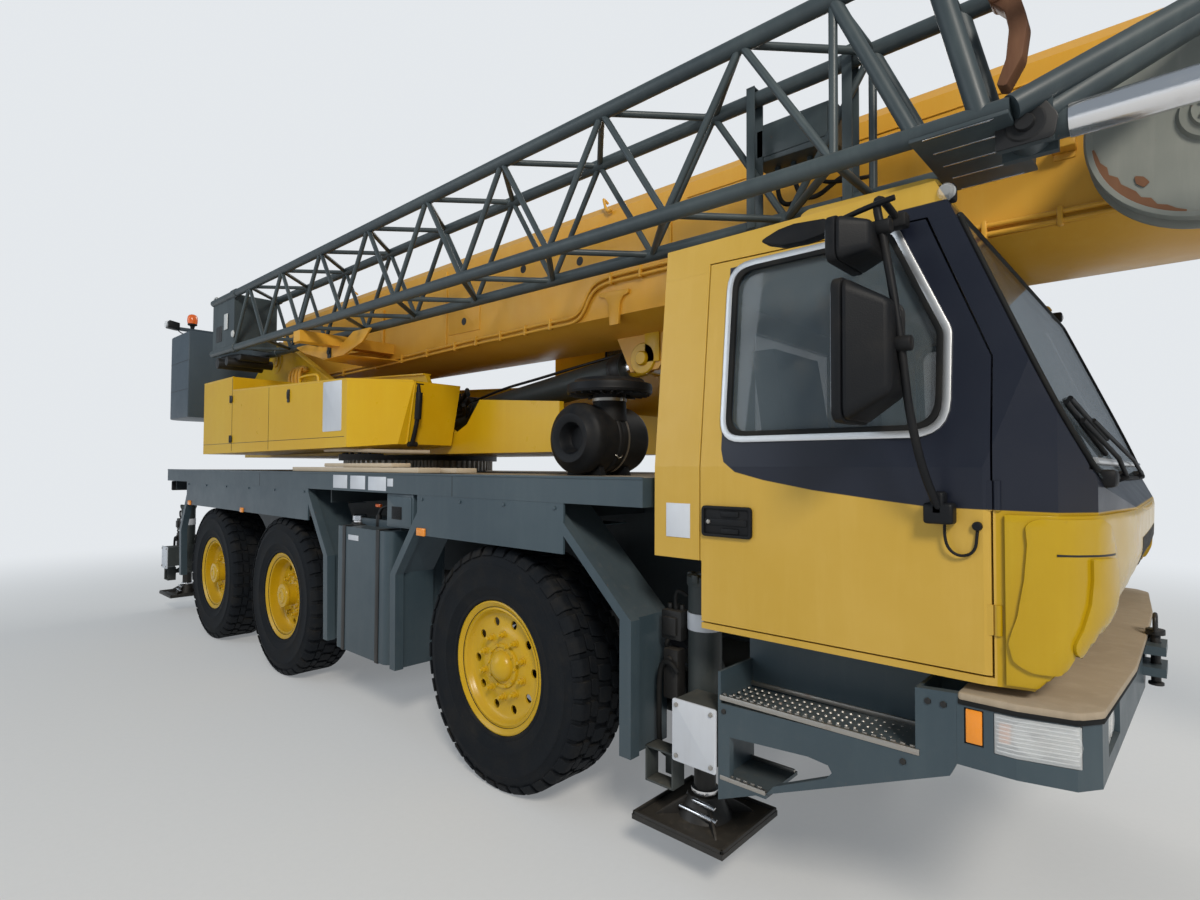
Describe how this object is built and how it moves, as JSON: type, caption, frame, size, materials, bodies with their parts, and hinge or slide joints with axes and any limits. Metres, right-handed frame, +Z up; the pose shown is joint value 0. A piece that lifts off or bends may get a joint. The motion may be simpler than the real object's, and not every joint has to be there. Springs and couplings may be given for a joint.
{
  "type": "mobile crane",
  "caption": "Three-axle mobile crane with a wide carrier cab, telescopic boom, stowed lattice jib, outriggers and slewing upper frame.",
  "frame": {"origin": "on the ground under the middle of the overall length and width", "axes": "+X forward along the carrier, +Y to the left, +Z up"},
  "size_m": [11.206, 3.08, 3.606],
  "materials": {
    "carrier_paint": "satin",
    "crane_yellow": "satin",
    "rim_yellow": "gloss",
    "weight_grey": "satin",
    "jib_grey": "satin",
    "engine_grey": "matte",
    "bare_steel": "machined",
    "bright_rod": "polished",
    "black_plastic": "moulded",
    "dark_trim": "moulded",
    "tyre_rubber": "rubber",
    "glass": "clear"
  },
  "bodies": {
    "carrier": {"chassis": "carrier_paint", "deck": "carrier_paint", "fenders": "carrier_paint", "side_tanks": "carrier_paint", "carrier_engine": "engine_grey", "air_cleaner": "black_plastic", "axles": "engine_grey", "cab_shell": "crane_yellow", "cab_roof": "crane_yellow", "cab_glass": "glass", "cab_interior": "dark_trim", "front_skirt": "carrier_paint", "slew_ring": "bare_steel"},
    "door_right": {"cab_door_right": "crane_yellow", "door_glass_right": "glass", "mirrors_right": "black_plastic"},
    "door_left": {"cab_door_left": "crane_yellow", "door_glass_left": "glass", "mirrors_left": "black_plastic"},
    "steering_front_right": {"knuckle_front_right": "engine_grey"},
    "wheel_front_right": {"tyre_front_right": "tyre_rubber", "rim_front_right": "rim_yellow"},
    "steering_front_left": {"knuckle_front_left": "engine_grey"},
    "wheel_front_left": {"tyre_front_left": "tyre_rubber", "rim_front_left": "rim_yellow"},
    "steering_middle_right": {"knuckle_middle_right": "engine_grey"},
    "wheel_middle_right": {"tyre_middle_right": "tyre_rubber", "rim_middle_right": "rim_yellow"},
    "steering_middle_left": {"knuckle_middle_left": "engine_grey"},
    "wheel_middle_left": {"tyre_middle_left": "tyre_rubber", "rim_middle_left": "rim_yellow"},
    "steering_rear_right": {"knuckle_rear_right": "engine_grey"},
    "wheel_rear_right": {"tyre_rear_right": "tyre_rubber", "rim_rear_right": "rim_yellow"},
    "steering_rear_left": {"knuckle_rear_left": "engine_grey"},
    "wheel_rear_left": {"tyre_rear_left": "tyre_rubber", "rim_rear_left": "rim_yellow"},
    "outrigger_front_right": {"beam_front_right": "engine_grey"},
    "jack_front_right": {"foot_front_right": "engine_grey"},
    "outrigger_front_left": {"beam_front_left": "engine_grey"},
    "jack_front_left": {"foot_front_left": "engine_grey"},
    "outrigger_rear_right": {"beam_rear_right": "engine_grey"},
    "jack_rear_right": {"foot_rear_right": "engine_grey"},
    "outrigger_rear_left": {"beam_rear_left": "engine_grey"},
    "jack_rear_left": {"foot_rear_left": "engine_grey"},
    "upper": {"turntable": "crane_yellow", "counterweight": "weight_grey", "side_housing": "crane_yellow", "operator_cab": "crane_yellow", "operator_glass": "glass"},
    "boom": {"boom_base": "crane_yellow", "jib": "jib_grey", "cable_reel": "weight_grey"},
    "section_two": {"boom_section_two": "crane_yellow"},
    "section_three": {"boom_section_three": "crane_yellow"},
    "section_four": {"boom_section_four": "crane_yellow"},
    "section_five": {"boom_section_five": "crane_yellow"},
    "lift_cylinder": {"lift_barrel": "engine_grey"},
    "lift_cylinder_rod": {"lift_rod": "bright_rod"},
    "hook": {"hook_block": "crane_yellow"}
  },
  "joints": [
    {"name": "cab_door_right_hinge", "type": "hinge", "parent": "carrier", "child": "door_right", "pos_m": [3.254, -1.276, 1.6], "axis": [0, 0, 1], "range_deg": [0, 70]},
    {"name": "cab_door_left_hinge", "type": "hinge", "parent": "carrier", "child": "door_left", "pos_m": [3.254, 1.276, 1.6], "axis": [0, 0, -1], "range_deg": [0, 70]},
    {"name": "steer_front_right", "type": "hinge", "parent": "carrier", "child": "steering_front_right", "pos_m": [0.875, -0.85, 0.655], "axis": [0, 0, 1], "range_deg": [-32, 32]},
    {"name": "roll_front_right", "type": "hinge", "parent": "steering_front_right", "child": "wheel_front_right", "pos_m": [0.875, -1.095, 0.655], "axis": [0, 1, 0], "continuous": true},
    {"name": "steer_front_left", "type": "hinge", "parent": "carrier", "child": "steering_front_left", "pos_m": [0.875, 0.85, 0.655], "axis": [0, 0, 1], "range_deg": [-32, 32]},
    {"name": "roll_front_left", "type": "hinge", "parent": "steering_front_left", "child": "wheel_front_left", "pos_m": [0.875, 1.095, 0.655], "axis": [0, 1, 0], "continuous": true},
    {"name": "steer_middle_right", "type": "hinge", "parent": "carrier", "child": "steering_middle_right", "pos_m": [-1.985, -0.85, 0.655], "axis": [0, 0, 1], "range_deg": [-20, 20]},
    {"name": "roll_middle_right", "type": "hinge", "parent": "steering_middle_right", "child": "wheel_middle_right", "pos_m": [-1.985, -1.095, 0.655], "axis": [0, 1, 0], "continuous": true},
    {"name": "steer_middle_left", "type": "hinge", "parent": "carrier", "child": "steering_middle_left", "pos_m": [-1.985, 0.85, 0.655], "axis": [0, 0, 1], "range_deg": [-20, 20]},
    {"name": "roll_middle_left", "type": "hinge", "parent": "steering_middle_left", "child": "wheel_middle_left", "pos_m": [-1.985, 1.095, 0.655], "axis": [0, 1, 0], "continuous": true},
    {"name": "steer_rear_right", "type": "hinge", "parent": "carrier", "child": "steering_rear_right", "pos_m": [-3.687, -0.85, 0.655], "axis": [0, 0, 1], "range_deg": [-25, 25]},
    {"name": "roll_rear_right", "type": "hinge", "parent": "steering_rear_right", "child": "wheel_rear_right", "pos_m": [-3.687, -1.095, 0.655], "axis": [0, 1, 0], "continuous": true},
    {"name": "steer_rear_left", "type": "hinge", "parent": "carrier", "child": "steering_rear_left", "pos_m": [-3.687, 0.85, 0.655], "axis": [0, 0, 1], "range_deg": [-25, 25]},
    {"name": "roll_rear_left", "type": "hinge", "parent": "steering_rear_left", "child": "wheel_rear_left", "pos_m": [-3.687, 1.095, 0.655], "axis": [0, 1, 0], "continuous": true},
    {"name": "outrigger_front_right_slide", "type": "slide", "parent": "carrier", "child": "outrigger_front_right", "axis": [0, -1, 0], "range_m": [0, 1.65]},
    {"name": "jack_front_right_slide", "type": "slide", "parent": "outrigger_front_right", "child": "jack_front_right", "axis": [0, 0, -1], "range_m": [0, 0.45]},
    {"name": "outrigger_front_left_slide", "type": "slide", "parent": "carrier", "child": "outrigger_front_left", "axis": [0, 1, 0], "range_m": [0, 1.65]},
    {"name": "jack_front_left_slide", "type": "slide", "parent": "outrigger_front_left", "child": "jack_front_left", "axis": [0, 0, -1], "range_m": [0, 0.45]},
    {"name": "outrigger_rear_right_slide", "type": "slide", "parent": "carrier", "child": "outrigger_rear_right", "axis": [0, -1, 0], "range_m": [0, 1.65]},
    {"name": "jack_rear_right_slide", "type": "slide", "parent": "outrigger_rear_right", "child": "jack_rear_right", "axis": [0, 0, -1], "range_m": [0, 0.45]},
    {"name": "outrigger_rear_left_slide", "type": "slide", "parent": "carrier", "child": "outrigger_rear_left", "axis": [0, 1, 0], "range_m": [0, 1.65]},
    {"name": "jack_rear_left_slide", "type": "slide", "parent": "outrigger_rear_left", "child": "jack_rear_left", "axis": [0, 0, -1], "range_m": [0, 0.45]},
    {"name": "slew", "type": "hinge", "parent": "carrier", "child": "upper", "pos_m": [-1.906, 0, 1.75], "axis": [0, 0, 1], "continuous": true},
    {"name": "boom_lift", "type": "hinge", "parent": "upper", "child": "boom", "pos_m": [-3.85, 0, 2.93], "axis": [0, -1, 0], "range_deg": [0, 78]},
    {"name": "extend_two", "type": "slide", "parent": "boom", "child": "section_two", "axis": [1, 0, 0], "range_m": [0, 7]},
    {"name": "extend_three", "type": "slide", "parent": "section_two", "child": "section_three", "axis": [1, 0, 0], "range_m": [0, 7]},
    {"name": "extend_four", "type": "slide", "parent": "section_three", "child": "section_four", "axis": [1, 0, 0], "range_m": [0, 7]},
    {"name": "extend_five", "type": "slide", "parent": "section_four", "child": "section_five", "axis": [1, 0, 0], "range_m": [0, 7]},
    {"name": "lift_barrel_swing", "type": "hinge", "parent": "upper", "child": "lift_cylinder", "pos_m": [-2, 0, 2.085], "axis": [0, -1, 0], "range_deg": [-0.5, 87.27]},
    {"name": "lift_rod_slide", "type": "slide", "parent": "lift_cylinder", "child": "lift_cylinder_rod", "axis": [0.9919, 0, 0.1273], "range_m": [-0.005, 2.4877]},
    {"name": "hook_swing", "type": "hinge", "parent": "section_five", "child": "hook", "pos_m": [5.43, 0, 2.6], "axis": [0, -1, 0], "range_deg": [-78.5, 0.5]}
  ],
  "couplings": [
    {"joint": "steer_front_left", "follows": "steer_front_right", "ratio": 1},
    {"joint": "steer_middle_left", "follows": "steer_middle_right", "ratio": 1},
    {"joint": "steer_rear_left", "follows": "steer_rear_right", "ratio": 1},
    {"joint": "extend_three", "follows": "extend_two", "ratio": 1},
    {"joint": "extend_four", "follows": "extend_two", "ratio": 1},
    {"joint": "extend_five", "follows": "extend_two", "ratio": 1},
    {"joint": "lift_barrel_swing", "follows": "boom_lift", "ratio": 1.1124},
    {"joint": "lift_rod_slide", "follows": "boom_lift", "m_per_rad": 1.8237},
    {"joint": "hook_swing", "follows": "boom_lift", "ratio": -1}
  ]
}
